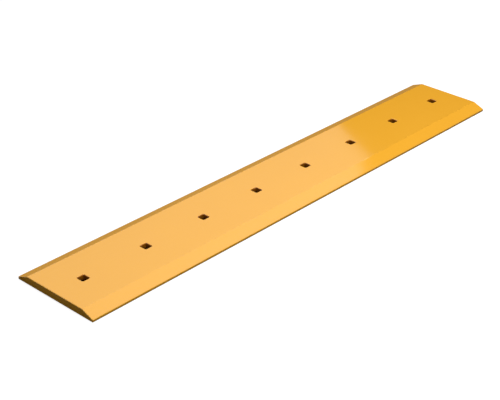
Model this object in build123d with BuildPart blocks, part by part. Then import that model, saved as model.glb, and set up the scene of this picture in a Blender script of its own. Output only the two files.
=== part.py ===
from build123d import *
import math
import os

# Cutting edge of a dozer blade: a length of hot-rolled double-bevel flat bar with one row of square
# plow bolt holes. It lies on its wide front face, with the narrow back face and the two bevels up.
# X runs along the bar, Y across it, and the origin is the centre of the front face. Millimetres.

# The rolled bar. Its lips are the upright faces left below the bevels.
bar_length = 1500.0
bar_width = 250.0
bar_thickness = 20.0
bevel_width = 33.0
lip_height = 7.0
shoulder_radius = 5.0
lip_radius = 2.0

# The plow bolt, which has a square neck under a countersunk round head
bolt_neck_width = 19.8
bolt_head_diameter = 35.5
bolt_head_angle = 80.0

# Room for the bolt in its hole, measured all across
neck_clearance = 0.8
head_clearance = 1.5

# The hole row. It is centred on the bar and holds as many bolts as the ends leave room for.
hole_pitch = 190.5
least_end_distance = 60.0
hole_corner_radius = 3.0

# The punch draws the steel in round each hole's mouth in the back face. Burrs are ground off at the
# mouths in the front face and at the cut ends.
back_mouth_radius = 2.0
front_mouth_chamfer = 0.8
end_edge_chamfer = 1.0

back_face_width = bar_width - 2 * bevel_width
hole_width = bolt_neck_width + neck_clearance
seat_diameter = bolt_head_diameter + head_clearance
seat_cone_height = seat_diameter / 2 / math.tan(math.radians(bolt_head_angle / 2))
hole_count = int((bar_length - 2 * least_end_distance) // hole_pitch) + 1

os.makedirs("parts", exist_ok=True)

with BuildPart() as cutting_edge:
    # The rolled section: wide front face below, narrow back face above, a bevel down to each lip
    with BuildSketch(Plane.YZ) as section:
        with BuildLine():
            Polyline(
                (-bar_width / 2, 0),
                (bar_width / 2, 0),
                (bar_width / 2, lip_height),
                (back_face_width / 2, bar_thickness),
                (-back_face_width / 2, bar_thickness),
                (-bar_width / 2, lip_height),
                close=True,
            )
        make_face()
        front_corners, lip_tops, _ = section.vertices().group_by(Axis.Y)
        fillet(front_corners + lip_tops, lip_radius)
        shoulders = section.vertices().group_by(Axis.Y)[-1]
        fillet(shoulders, shoulder_radius)
    extrude(amount=bar_length / 2, both=True)

    # Square holes for the bolt necks, punched right through
    with BuildSketch(Plane.XY.offset(bar_thickness)):
        with GridLocations(hole_pitch, 0, hole_count, 1):
            RectangleRounded(hole_width, hole_width, hole_corner_radius)
    extrude(amount=-bar_thickness, mode=Mode.SUBTRACT)

    # Conical seats for the bolt heads in the front face. Each cone runs on to its point inside the
    # square hole, so it meets the four flat walls in arches and the rounded corners lower down.
    with GridLocations(hole_pitch, 0, hole_count, 1):
        Cone(
            bottom_radius=seat_diameter / 2,
            top_radius=0,
            height=seat_cone_height,
            align=(Align.CENTER, Align.CENTER, Align.MIN),
            mode=Mode.SUBTRACT,
        )

    # Cut ends ground all round, and both mouths of every hole
    by_length = cutting_edge.faces().sort_by(Axis.X)
    chamfer(by_length[0].edges() + by_length[-1].edges(), end_edge_chamfer)
    front_face = cutting_edge.faces().sort_by(Axis.Z)[0]
    chamfer(front_face.inner_wires().edges(), front_mouth_chamfer)
    back_face = cutting_edge.faces().sort_by(Axis.Z)[-1]
    fillet(back_face.inner_wires().edges(), back_mouth_radius)

cutting_edge.part.label = "cutting_edge"
export_step(cutting_edge.part, "parts/cutting_edge.step")
print("holes:", hole_count, "end distance:", (bar_length - (hole_count - 1) * hole_pitch) / 2)
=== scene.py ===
# %% [markdown]
# This lesson makes one real object look like itself: the cutting edge of a dozer blade. It is a
# length of hot-rolled steel bar, 1.5 m by 250 mm by 20 mm, with a bevel along each long side and a
# row of eight square holes for plow bolts, painted in yellow enamel all over.
#
# The shape was first built as CAD and packed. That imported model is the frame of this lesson: it
# fixes the size and the place, and what is modelled here stays inside it. All lengths are metres.

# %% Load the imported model
import math

import bmesh
import bpy
from mathutils import Matrix, Vector


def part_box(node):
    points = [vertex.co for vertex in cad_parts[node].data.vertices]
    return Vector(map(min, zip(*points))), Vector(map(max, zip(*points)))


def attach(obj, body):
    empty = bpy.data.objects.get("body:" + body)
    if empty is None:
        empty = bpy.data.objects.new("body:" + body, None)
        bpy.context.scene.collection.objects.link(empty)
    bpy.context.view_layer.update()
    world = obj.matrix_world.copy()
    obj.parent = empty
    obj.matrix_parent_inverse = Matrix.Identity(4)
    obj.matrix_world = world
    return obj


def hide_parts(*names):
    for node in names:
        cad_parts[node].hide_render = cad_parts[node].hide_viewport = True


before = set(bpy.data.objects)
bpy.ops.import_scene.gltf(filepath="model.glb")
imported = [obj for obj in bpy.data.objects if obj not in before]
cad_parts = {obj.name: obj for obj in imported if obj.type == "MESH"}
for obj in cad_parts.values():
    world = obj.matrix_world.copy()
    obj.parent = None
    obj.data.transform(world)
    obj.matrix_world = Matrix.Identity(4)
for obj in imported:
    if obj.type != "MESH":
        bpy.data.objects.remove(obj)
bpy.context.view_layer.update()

# %% [markdown]
# **The camera.** The bar's corners and holes have known places, so their places in a picture fix
# the viewpoint, the turn and the lens. The camera stands about 3 m away, in front of the near end
# and to its left, and looks along the bar and down. From there the far holes look a third smaller
# than the near ones. A roll of one degree is kept, because a hand-held picture has one.

# %% Camera
CAMERA_PLACE = (-2.1614, -1.8227, 1.5041)
CAMERA_HEADING = 41.738  # degrees from +X towards +Y
CAMERA_TILT = 28.779  # degrees below the horizon
CAMERA_ROLL = 1.183
LENS = 89.72  # millimetres, on the default sensor of 36 mm

camera_data = bpy.data.cameras.new("camera")
camera_data.lens = LENS
camera_data.clip_start = 0.1
camera_data.clip_end = 60
camera = bpy.data.objects.new("camera", camera_data)
camera.matrix_world = (
    Matrix.Translation(CAMERA_PLACE)
    @ Matrix.Rotation(math.radians(CAMERA_HEADING - 90), 4, "Z")
    @ Matrix.Rotation(math.radians(90 - CAMERA_TILT), 4, "X")
    @ Matrix.Rotation(math.radians(CAMERA_ROLL), 4, "Z")
)
bpy.context.scene.collection.objects.link(camera)
bpy.context.scene.camera = camera
bpy.context.scene.view_settings.view_transform = "Standard"
print("camera to bar:", round(camera.matrix_world.translation.length, 3), "m")

# %% [markdown]
# **The rolled bar.** A steel mill rolls this section hot from a billet: the wide front face, a
# narrower back face above it, a bevel down to each long side, and a small upright lip left below
# each bevel. The rolls can't make a keen arris, so every long edge is a little round.
#
# It could be drawn as a profile and extruded along the bar. Here a box as low as the lips is
# extruded upwards, and its top is drawn in to the width of the back face, as the rolls draw it in.
# That takes two moves, and the bevels then follow from the two widths.

# %% Sizes of the bar
MILLIMETRE = 0.001
LIP_HEIGHT = 7 * MILLIMETRE
BACK_FACE_WIDTH = 184 * MILLIMETRE
END_CHAMFER = 1 * MILLIMETRE

node_low, node_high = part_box("cutting_edge")
length, width, thickness = [b - a for a, b in zip(node_low, node_high)]
bevel_slope = math.degrees(math.atan2(thickness - LIP_HEIGHT, (width - BACK_FACE_WIDTH) / 2))
print("bevels slope at", round(bevel_slope, 2), "degrees")


# %% A helper that picks edges or faces
def pick(piece, kind, passes):
    """Selects, in edit mode, only the edges or faces whose middle and direction pass the test.

    The direction is a face's normal, or the way an edge runs.
    """
    bpy.ops.mesh.select_mode(type=kind)
    bpy.ops.mesh.select_all(action="DESELECT")
    shape = bmesh.from_edit_mesh(piece.data)
    shape.normal_update()
    picked = 0
    for element in shape.faces if kind == "FACE" else shape.edges:
        corners = [vertex.co for vertex in element.verts]
        middle = sum(corners, Vector()) / len(corners)
        along = element.normal if kind == "FACE" else (corners[1] - corners[0]).normalized()
        if passes(middle, along):
            element.select_set(True)
            picked += 1
    bmesh.update_edit_mesh(piece.data)
    print("picked", picked, kind.lower() + "s")


# %% The low box, extruded and drawn in
bpy.ops.object.select_all(action="DESELECT")
bpy.ops.mesh.primitive_cube_add(
    size=1,
    location=(0, 0, LIP_HEIGHT / 2),
    scale=(length - 2 * END_CHAMFER, width, LIP_HEIGHT),
)
bar = bpy.context.active_object
bar.name = "painted_bar"
bpy.ops.object.transform_apply(location=True, rotation=True, scale=True)

bpy.ops.object.mode_set(mode="EDIT")
pick(bar, "FACE", lambda middle, normal: normal.z > 0.9)
bpy.ops.mesh.extrude_region_move(
    TRANSFORM_OT_translate={"value": (0, 0, thickness - LIP_HEIGHT)}
)
bpy.ops.transform.resize(
    value=(1, BACK_FACE_WIDTH / width, 1), center_override=(0, 0, thickness)
)

# %% [markdown]
# **The rounded edges.** A bevel with an offset of r tan(a/2) gives a radius r where the faces turn
# through an angle a. The shoulders turn only 21.5 degrees and have the largest radius, 5 mm. The
# lips have 2 mm. The cut ends are ground last, to a chamfer of 1 mm all round. An inset with a depth
# draws the end face in and out by that much at once, so the box was made 1 mm short at each end.

# %% Round the long edges and the cut ends
SHOULDER_RADIUS = 5 * MILLIMETRE
LIP_RADIUS = 2 * MILLIMETRE
ROUND_STEPS = 4
HAIR = 0.01 * MILLIMETRE  # what counts as the same place


def round_off(radius, turn):
    """Rounds the picked edges to a radius, where the faces turn through an angle in degrees."""
    offset = radius * math.tan(math.radians(turn) / 2)
    bpy.ops.mesh.bevel(offset_type="OFFSET", offset=offset, segments=ROUND_STEPS, profile=0.5)


def on_lip(middle, along):
    return abs(along.x) > 0.9 and abs(middle.y) > width / 2 - HAIR


pick(bar, "EDGE", lambda middle, along: abs(along.x) > 0.9 and middle.z > thickness - HAIR)
round_off(SHOULDER_RADIUS, bevel_slope)
pick(bar, "EDGE", lambda middle, along: on_lip(middle, along) and middle.z > LIP_HEIGHT - HAIR)
round_off(LIP_RADIUS, 90 - bevel_slope)
pick(bar, "EDGE", lambda middle, along: on_lip(middle, along) and middle.z < HAIR)
round_off(LIP_RADIUS, 90)
pick(bar, "FACE", lambda middle, normal: abs(normal.x) > 0.9)
bpy.ops.mesh.inset(thickness=END_CHAMFER, depth=END_CHAMFER)

# %% [markdown]
# **The bolt holes.** A plow bolt has a flat countersunk head and a square neck below it that keeps
# it from turning. So each hole is square with rounded corners where the neck sits, and opens in a
# cone of 80 degrees to the front face, which lies on the floor here.
#
# The holes could be modelled face by face, but the cone meets the flat walls in arches and the
# rounded corners lower down, and only a true intersection gives those curves. So a punch is modelled
# once, arrayed along the row, and cut out with a Boolean. The bar is first divided between the
# holes, so that each has a panel of its own and no face holds eight of them.

# %% Sizes of the holes
HOLE_COUNT = 8
HOLE_PITCH = 190.5 * MILLIMETRE
HOLE_WIDTH = 20.6 * MILLIMETRE
HOLE_CORNER_RADIUS = 3 * MILLIMETRE
CONE_DIAMETER = 37 * MILLIMETRE
CONE_ANGLE = 80

first_hole = -HOLE_PITCH * (HOLE_COUNT - 1) / 2
hole_places = [first_hole + index * HOLE_PITCH for index in range(HOLE_COUNT)]
print("holes at x in mm:", [round(x / MILLIMETRE, 2) for x in hole_places])

# %% Divide the bar into panels
for place in hole_places[1:]:
    bpy.ops.mesh.select_all(action="SELECT")
    bpy.ops.mesh.bisect(plane_co=(place - HOLE_PITCH / 2, 0, 0), plane_no=(1, 0, 0))
bpy.ops.object.mode_set(mode="OBJECT")


# %% The punches for the square necks and for the cones
def row_of(punch):
    """Repeats a punch at every hole."""
    bpy.ops.object.transform_apply(location=True, rotation=True, scale=True)
    bpy.ops.object.modifier_add(type="ARRAY")
    array = punch.modifiers[-1]
    array.count = HOLE_COUNT
    array.use_relative_offset = False
    array.use_constant_offset = True
    array.constant_offset_displace = (HOLE_PITCH, 0, 0)
    bpy.ops.object.modifier_apply(modifier=array.name)
    print(punch.name, "has", len(punch.data.polygons), "faces")


bpy.ops.object.select_all(action="DESELECT")
bpy.ops.mesh.primitive_cube_add(
    size=1,
    location=(first_hole, 0, thickness / 2),
    scale=(HOLE_WIDTH, HOLE_WIDTH, 2 * thickness),
)
neck_punch = bpy.context.active_object
neck_punch.name = "neck_punch"
bpy.ops.object.transform_apply(location=True, rotation=True, scale=True)
bpy.ops.object.mode_set(mode="EDIT")
pick(neck_punch, "EDGE", lambda middle, along: abs(along.z) > 0.9)
bpy.ops.mesh.bevel(offset_type="OFFSET", offset=HOLE_CORNER_RADIUS, segments=6, profile=0.5)
bpy.ops.object.mode_set(mode="OBJECT")
row_of(neck_punch)

CONE_STEPS = 96
half_angle = math.radians(CONE_ANGLE / 2)
below = 2 * MILLIMETRE  # the cone starts under the front face, so that no two faces coincide
cone_base = CONE_DIAMETER / 2 + below * math.tan(half_angle)
cone_height = cone_base / math.tan(half_angle)
bpy.ops.object.select_all(action="DESELECT")
bpy.ops.mesh.primitive_cone_add(
    vertices=CONE_STEPS,
    radius1=cone_base,
    radius2=0,
    depth=cone_height,
    location=(first_hole, 0, cone_height / 2 - below),
)
cone_punch = bpy.context.active_object
cone_punch.name = "cone_punch"
row_of(cone_punch)

# %% Punch the holes
for punch in (neck_punch, cone_punch):
    bpy.ops.object.select_all(action="DESELECT")
    bar.select_set(True)
    bpy.context.view_layer.objects.active = bar
    bpy.ops.object.modifier_add(type="BOOLEAN")
    cut = bar.modifiers[-1]
    cut.operation = "DIFFERENCE"
    cut.solver = "MANIFOLD"
    cut.object = punch
    bpy.ops.object.modifier_apply(modifier=cut.name)
    bpy.data.objects.remove(punch)
print("bar has", len(bar.data.polygons), "faces after punching")

# %% [markdown]
# **The mouths.** A punch that goes into hot steel draws the surface in with it, so the back-face
# mouth of each hole is rolled over to about 2 mm. That small round is worth modelling: its near side
# turns away from the camera and mirrors the pale studio, as a thin bright crescent under each hole.
# The front-face mouths are only ground, which leaves a chamfer of 0.8 mm.

# %% Roll over the back mouths and grind the front ones
BACK_MOUTH_RADIUS = 2 * MILLIMETRE
FRONT_MOUTH_CHAMFER = 0.8 * MILLIMETRE


def from_hole(middle):
    """How far a place is from the middle line of the nearest hole, along X and along Y."""
    return min(abs(middle.x - place) for place in hole_places), abs(middle.y)


bpy.ops.object.mode_set(mode="EDIT")
bpy.ops.mesh.select_all(action="SELECT")
bpy.ops.mesh.remove_doubles(threshold=0.001 * MILLIMETRE)
pick(
    bar,
    "EDGE",
    lambda middle, along: middle.z > thickness - HAIR
    and max(from_hole(middle)) < HOLE_WIDTH / 2 + HAIR,
)
round_off(BACK_MOUTH_RADIUS, 90)
pick(
    bar,
    "EDGE",
    lambda middle, along: middle.z < HAIR
    and math.hypot(*from_hole(middle)) < CONE_DIAMETER / 2 + HAIR,
)
bpy.ops.mesh.bevel(offset_type="OFFSET", offset=FRONT_MOUTH_CHAMFER, segments=1)
bpy.ops.mesh.select_all(action="SELECT")
bpy.ops.mesh.normals_make_consistent(inside=False)

# %% [markdown]
# **Smooth shading.** The long flats and the narrow rounds share their border vertices. With plain
# smooth shading the round would bend the light on the flat beside it. So edges over 30 degrees stay
# hard, and a Weighted Normal modifier lets the large faces set the normals at their borders.

# %% Shade the bar and check that it is closed
bpy.ops.object.mode_set(mode="OBJECT")
bpy.ops.object.shade_smooth_by_angle(angle=math.radians(30))
bpy.ops.object.modifier_add(type="WEIGHTED_NORMAL")
weighted = bar.modifiers[-1]
weighted.keep_sharp = True
weighted.weight = 100
bpy.ops.object.modifier_apply(modifier=weighted.name)

measured = bmesh.new()
measured.from_mesh(bar.data)
open_edges = sum(not edge.is_manifold for edge in measured.edges)
cubic_millimetres = measured.calc_volume() / MILLIMETRE**3
triangles = sum(len(face.verts) - 2 for face in measured.faces)
measured.free()
print("open edges:", open_edges, "triangles:", triangles)
print("volume in mm3:", round(cubic_millimetres), "mass in kg:", round(7.85e-6 * cubic_millimetres, 2))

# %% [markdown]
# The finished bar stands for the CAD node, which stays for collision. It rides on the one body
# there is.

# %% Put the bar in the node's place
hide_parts("cutting_edge")
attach(bar, "root")


# %% [markdown]
# **Materials are node trees.** Three small helpers keep them readable: one turns an sRGB hex colour
# to the linear values that shaders work in, one clears a tree, and one adds any node with its
# settings and links.


# %% Helpers for materials
def linear(hex_colour):
    """The linear colour of an sRGB hex value such as F2AD31."""
    channels = [int(hex_colour[i : i + 2], 16) / 255 for i in (0, 2, 4)]
    return [c / 12.92 if c <= 0.04045 else ((c + 0.055) / 1.055) ** 2.4 for c in channels] + [1.0]


def empty_tree(owner):
    """The node tree of a material or a world, with nothing in it."""
    owner.use_nodes = True
    owner.node_tree.nodes.clear()
    return owner.node_tree


def add_node(tree, kind, inputs=None, **settings):
    """Adds a node, sets what it is told, and links each input that is given an output."""
    node = tree.nodes.new(kind)
    for name, value in settings.items():
        setattr(node, name, value)
    for name, value in (inputs or {}).items():
        if isinstance(value, bpy.types.NodeSocket):
            tree.links.new(value, node.inputs[name])
        else:
            node.inputs[name].default_value = value
    return node


# %% [markdown]
# **The enamel.** Such edges leave the mill sprayed with a glossy alkyd enamel in one thick coat,
# straight over the rolled skin. It gives the eye three things: a warm yellow that is almost but not
# quite even, a clear soft mirror of whatever stands around, and in that mirror a slight wander from
# the waves of the rolled steel and the orange peel of the spray.
#
# The colour drifts over 160 mm, about the width of a spray pass, with a fine speckle over 9 mm. The
# waves of the steel are 70 mm long and 0.06 mm deep. Real orange peel is 1 to 2 mm; it is drawn at
# 4 mm, because at this distance a pixel covers 3 mm and a finer one would only turn to noise.


# %% Colour of the enamel
def noise(tree, place, scale_mm, detail, roughness=0.5):
    """A noise whose grain is a size in millimetres on the object."""
    inputs = {
        "Vector": place,
        "Scale": 1 / (scale_mm * MILLIMETRE),
        "Detail": detail,
        "Roughness": roughness,
    }
    return add_node(tree, "ShaderNodeTexNoise", inputs).outputs["Fac"]


def enamel_colour(tree, place, drift):
    """Two near yellows, mixed by the drift of the spray and a finer speckle."""
    speckle = add_node(
        tree,
        "ShaderNodeMath",
        {0: noise(tree, place, 9, 3.0, 0.6), 1: 0.3},
        operation="MULTIPLY",
    )
    tone = add_node(
        tree,
        "ShaderNodeMath",
        {0: drift, 1: 0.7, 2: speckle.outputs[0]},
        operation="MULTIPLY_ADD",
    )
    return add_node(
        tree,
        "ShaderNodeMix",
        {"Factor": tone.outputs[0], "A": linear("F0AC31"), "B": linear("F4B136")},
        data_type="RGBA",
    ).outputs["Result"]


# %% The enamel itself
def yellow_enamel():
    """Sprayed gloss alkyd enamel over rolled steel."""
    material = bpy.data.materials.new("sprayed_yellow_enamel")
    tree = empty_tree(material)
    place = add_node(tree, "ShaderNodeTexCoord").outputs["Object"]
    drift = noise(tree, place, 160, 2.0)
    gloss = add_node(
        tree,
        "ShaderNodeMapRange",
        {"Value": drift, "From Min": 0.3, "From Max": 0.7, "To Min": 0.09, "To Max": 0.12},
    )
    waves = add_node(
        tree,
        "ShaderNodeBump",
        {"Strength": 1.0, "Distance": 0.06 * MILLIMETRE, "Height": noise(tree, place, 70, 1.0)},
    )
    peel = add_node(
        tree,
        "ShaderNodeBump",
        {
            "Strength": 1.0,
            "Distance": 0.008 * MILLIMETRE,
            "Height": noise(tree, place, 4, 1.0, 0.4),
            "Normal": waves.outputs["Normal"],
        },
    )
    shader = add_node(
        tree,
        "ShaderNodeBsdfPrincipled",
        {
            "Base Color": enamel_colour(tree, place, drift),
            "Roughness": gloss.outputs["Result"],
            "IOR": 1.5,
            "Normal": peel.outputs["Normal"],
        },
    )
    add_node(tree, "ShaderNodeOutputMaterial", {"Surface": shader.outputs["BSDF"]})
    return material


# %% [markdown]
# ** The hole walls.** Little light reaches down into the holes, and that shade is painted into the
# walls' colour: a dark yellow-brown at the mouth, darker, rougher and blotchy downwards.
# To the eye that makes each hole a dark square with warm walls and not a black one.


# %% Painted shade on the hole walls
def painted_shade_on_hole_walls():
    """Painted shade down the wall of a hole: a dark yellow-brown that darkens and roughens downwards.
    """
    material = bpy.data.materials.new("hole_walls_painted_shade")
    tree = empty_tree(material)
    place = add_node(tree, "ShaderNodeTexCoord").outputs["Object"]
    height = add_node(tree, "ShaderNodeSeparateXYZ", {"Vector": place}).outputs["Z"]
    blotch = add_node(
        tree,
        "ShaderNodeMath",
        {0: noise(tree, place, 5, 3.0, 0.6), 1: 4 * MILLIMETRE, 2: height},
        operation="MULTIPLY_ADD",
    )
    # how far the painted shade has lifted, from low in the hole up to the mouth
    shade_lift = add_node(
        tree,
        "ShaderNodeMapRange",
        {
            "Value": blotch.outputs[0],
            "From Min": WALL_SHADE_DARKEST + 2 * MILLIMETRE,
            "From Max": thickness - BACK_MOUTH_RADIUS + 2 * MILLIMETRE,
        },
    )
    # two painted shades of the yellow: the darkest low in the hole, the less dark one at the mouth
    colour = add_node(
        tree,
        "ShaderNodeMix",
        {"Factor": shade_lift.outputs["Result"], "A": linear("8A5208"), "B": linear("A8640A")},
        data_type="RGBA",
    )
    rough = add_node(
        tree,
        "ShaderNodeMapRange",
        {"Value": shade_lift.outputs["Result"], "To Min": 0.6, "To Max": 0.3},
    )
    grain = add_node(
        tree,
        "ShaderNodeBump",
        {"Strength": 1.0, "Distance": 0.05 * MILLIMETRE, "Height": noise(tree, place, 2, 2.0)},
    )
    shader = add_node(
        tree,
        "ShaderNodeBsdfPrincipled",
        {
            "Base Color": colour.outputs["Result"],
            "Roughness": rough.outputs["Result"],
            "Normal": grain.outputs["Normal"],
        },
    )
    add_node(tree, "ShaderNodeOutputMaterial", {"Surface": shader.outputs["BSDF"]})
    return material


# %% Paint the bar and its hole walls
WALL_SHADE_DARKEST = 12 * MILLIMETRE  # below this height the painted shade on the wall is at its darkest

bar.data.materials.clear()  # the Boolean leaves an empty slot
bar.data.materials.append(yellow_enamel())
# the second slot holds the painted shade of the hole walls, given to them below
bar.data.materials.append(painted_shade_on_hole_walls())
bpy.ops.object.mode_set(mode="EDIT")
pick(
    bar,
    "FACE",
    lambda middle, normal: -0.1 < normal.z < 0.9
    and max(from_hole(middle)) < HOLE_WIDTH / 2 + BACK_MOUTH_RADIUS,
)
bar.active_material_index = 1
bpy.ops.object.material_slot_assign()
bpy.ops.object.mode_set(mode="OBJECT")

# %% [markdown]
# **The floor** is seen as white paper that the object just touches. A white that is lit would throw
# light up at the bar and lose the shadow, so the floor is in part its own light: camera rays see a
# grey that takes the shadow plus a glow that lifts it to white. All other rays meet a dark floor.


# %% Floor
FLOOR_TAKES = 0.3  # the share of white that the shadow can darken
FLOOR_GLOWS = 0.88


def floor_white():
    material = bpy.data.materials.new("floor_white")
    tree = empty_tree(material)
    rays = add_node(tree, "ShaderNodeLightPath")
    takes = add_node(tree, "ShaderNodeBsdfDiffuse", {"Color": [FLOOR_TAKES] * 3 + [1]})
    glows = add_node(tree, "ShaderNodeEmission", {"Strength": FLOOR_GLOWS})
    seen = add_node(tree, "ShaderNodeAddShader", {0: takes.outputs[0], 1: glows.outputs[0]})
    unseen = add_node(tree, "ShaderNodeBsdfDiffuse", {"Color": [0.03] * 3 + [1]})
    either = add_node(
        tree,
        "ShaderNodeMixShader",
        {"Fac": rays.outputs["Is Camera Ray"], 1: unseen.outputs[0], 2: seen.outputs[0]},
    )
    add_node(tree, "ShaderNodeOutputMaterial", {"Surface": either.outputs[0]})
    return material


def stage_sheet(name, material, sides, location, rotation=(0, 0, 0)):
    """A flat piece of the studio, which isn't part of the object."""
    bpy.ops.object.select_all(action="DESELECT")
    bpy.ops.mesh.primitive_plane_add(size=1, location=location, rotation=rotation)
    sheet = bpy.context.active_object
    sheet.name = name
    sheet.scale = (*sides, 1)
    bpy.ops.object.transform_apply(location=True, rotation=True, scale=True)
    sheet.data.materials.append(material)
    print(name, "measures", [round(side, 3) for side in sheet.dimensions], "m")
    return sheet


stage_sheet("floor", floor_white(), (24, 24), (0, 0, -0.2 * MILLIMETRE))

# %% [markdown]
# ** The studio around.** The camera sees plain white behind the object. The matt part of the paint
# sees a dim fill that comes from the near end's side and fades out towards the far end's, so that
# shades keep their colour. The gloss mirrors a wall that is brighter higher up, as a tent of white
# cloth lit from above is.

# %% World
FILL_NEAR, FILL_FAR = 0.30, 0.0  # from the near end's side, and from the far end's
WALL_LOW, WALL_LOW_LIGHT = 0.43, 0.9  # the height of a direction, as its sine, and the light there
WALL_HIGH, WALL_HIGH_LIGHT = 0.80, 2.1

world = bpy.data.worlds.new("studio")
bpy.context.scene.world = world
tree = empty_tree(world)
rays = add_node(tree, "ShaderNodeLightPath")
direction = add_node(tree, "ShaderNodeTexCoord").outputs["Generated"]
parts = add_node(tree, "ShaderNodeSeparateXYZ", {"Vector": direction})
fill_light = add_node(
    tree,
    "ShaderNodeMapRange",
    {
        "Value": parts.outputs["X"],
        "From Min": -1.0,
        "From Max": 1.0,
        "To Min": FILL_NEAR,
        "To Max": FILL_FAR,
    },
)
wall_light = add_node(
    tree,
    "ShaderNodeMapRange",
    {
        "Value": parts.outputs["Z"],
        "From Min": WALL_LOW,
        "From Max": WALL_HIGH,
        "To Min": WALL_LOW_LIGHT,
        "To Max": WALL_HIGH_LIGHT,
    },
)
fill = add_node(tree, "ShaderNodeBackground", {"Strength": fill_light.outputs["Result"]})
wall = add_node(tree, "ShaderNodeBackground", {"Strength": wall_light.outputs["Result"]})
white = add_node(tree, "ShaderNodeBackground", {"Strength": 1.0})
for lit in (fill, wall, white):
    lit.inputs["Color"].default_value = (1, 1, 1, 1)
mirrored = add_node(
    tree,
    "ShaderNodeMixShader",
    {"Fac": rays.outputs["Is Glossy Ray"], 1: fill.outputs[0], 2: wall.outputs[0]},
)
shown = add_node(
    tree,
    "ShaderNodeMixShader",
    {"Fac": rays.outputs["Is Camera Ray"], 1: mirrored.outputs[0], 2: white.outputs[0]},
)
add_node(tree, "ShaderNodeOutputWorld", {"Surface": shown.outputs[0]})

# %% [markdown]
# **The key light** is one large soft box, high and slightly towards the camera's side. That side
# makes the near bevel as bright as the top and leaves the end and the hole walls in shade. Its
# strength is worked out, not tried: an area light of power P, seen from a distance d straight
# above, lights a surface by P / (pi^2 d^2), and 1 shows a colour as it is written.

# %% Key light
KEY_DIRECTION = Vector((0.06, -0.33, 1.0)).normalized()
KEY_DISTANCE = 3.8
KEY_CENTRE = Vector((0.1, 0, 0.02))
KEY_SIDE = 1.6
KEY_LEVEL = 1.005

key_data = bpy.data.lights.new("key", "AREA")
key_data.shape = "RECTANGLE"
key_data.size = KEY_SIDE
key_data.size_y = KEY_SIDE
key_data.energy = KEY_LEVEL * math.pi**2 * KEY_DISTANCE**2 / KEY_DIRECTION.z
key = bpy.data.objects.new("key", key_data)
key.location = KEY_CENTRE + KEY_DISTANCE * KEY_DIRECTION
key.rotation_mode = "QUATERNION"
key.rotation_quaternion = KEY_DIRECTION.to_track_quat("Z", "Y")
bpy.context.scene.collection.objects.link(key)
key.visible_glossy = False
print("key light:", round(key_data.energy), "W")

# %% [markdown]
# **The dark card.** Across the real bar runs one straight border: paler and slightly milky on the
# near side, deeper yellow beyond it. That is no change of paint. It is the mirrored edge of
# something dark that stands behind the far end. A mirror's border gives away only a direction, so
# the card stands 1 m off, where the slight blur of the gloss is as wide as the border shows.
# It is there for gloss alone: no other ray sees it, and it throws no shadow.

# %% Dark card
EDGE_POINT = Vector((1.018, 0.498, 0.475))  # a point of the card's edge
EDGE_ALONG = Vector((0.14, -0.773, 0.619)).normalized()
EDGE_FROM, EDGE_TO = -0.7, 1.6  # how far the card runs along its edge from that point
CARD_DEPTH = 1.2
MIRROR_POINT = Vector((0.28, 0, 0.02))  # where the border crosses the middle of the bar

black = bpy.data.materials.new("black_card")
tree = empty_tree(black)
matt = add_node(tree, "ShaderNodeBsdfDiffuse", {"Color": (0, 0, 0, 1)})
add_node(tree, "ShaderNodeOutputMaterial", {"Surface": matt.outputs[0]})

card_down = EDGE_ALONG.cross(MIRROR_POINT - EDGE_POINT).normalized()
if card_down.z > 0:
    card_down.negate()
card_middle = EDGE_POINT + (EDGE_FROM + EDGE_TO) / 2 * EDGE_ALONG + CARD_DEPTH / 2 * card_down
card_axes = Matrix((EDGE_ALONG, card_down, EDGE_ALONG.cross(card_down))).transposed()
card_sides = (EDGE_TO - EDGE_FROM, CARD_DEPTH)
card = stage_sheet("dark_card", black, card_sides, card_middle, card_axes.to_euler())


def for_gloss_only(sheet, diffuse=False):
    """Hides a sheet from every ray but a mirrored one, or a mirrored and a matt one."""
    sheet.visible_camera = False
    sheet.visible_shadow = False
    sheet.visible_transmission = False
    sheet.visible_diffuse = diffuse


for_gloss_only(card)

# %% [markdown]
# ** Two sheets near the bar.** A strip on the floor behind the bar gives the bar a dull reflection
# and a little light from below, as the paper there does. A dark sheet under the bar keeps the floor
# dark where it shows through the holes, because that floor lies in the bar's own shade.


# %% Strip behind and sheet below
def strip_light(mirrored, diffuse):
    """A glow that gloss sees at one level and matt paint at another."""
    material = bpy.data.materials.new("strip_light")
    tree = empty_tree(material)
    level = add_node(
        tree,
        "ShaderNodeMapRange",
        {
            "Value": add_node(tree, "ShaderNodeLightPath").outputs["Is Glossy Ray"],
            "To Min": diffuse,
            "To Max": mirrored,
        },
    )
    glow = add_node(tree, "ShaderNodeEmission", {"Strength": level.outputs["Result"]})
    add_node(tree, "ShaderNodeOutputMaterial", {"Surface": glow.outputs[0]})
    return material


strip = stage_sheet("back_strip", strip_light(0.11, 0.03), (4, 2), (1.2, 1.127, 0))
for_gloss_only(strip, diffuse=True)

shade = bpy.data.materials.new("shade_grey")
tree = empty_tree(shade)
matt = add_node(tree, "ShaderNodeBsdfDiffuse", {"Color": (0.05, 0.05, 0.05, 1)})
add_node(tree, "ShaderNodeOutputMaterial", {"Surface": matt.outputs[0]})
stage_sheet("under_sheet", shade, (1.49, 0.24), (0, 0, -0.1 * MILLIMETRE))
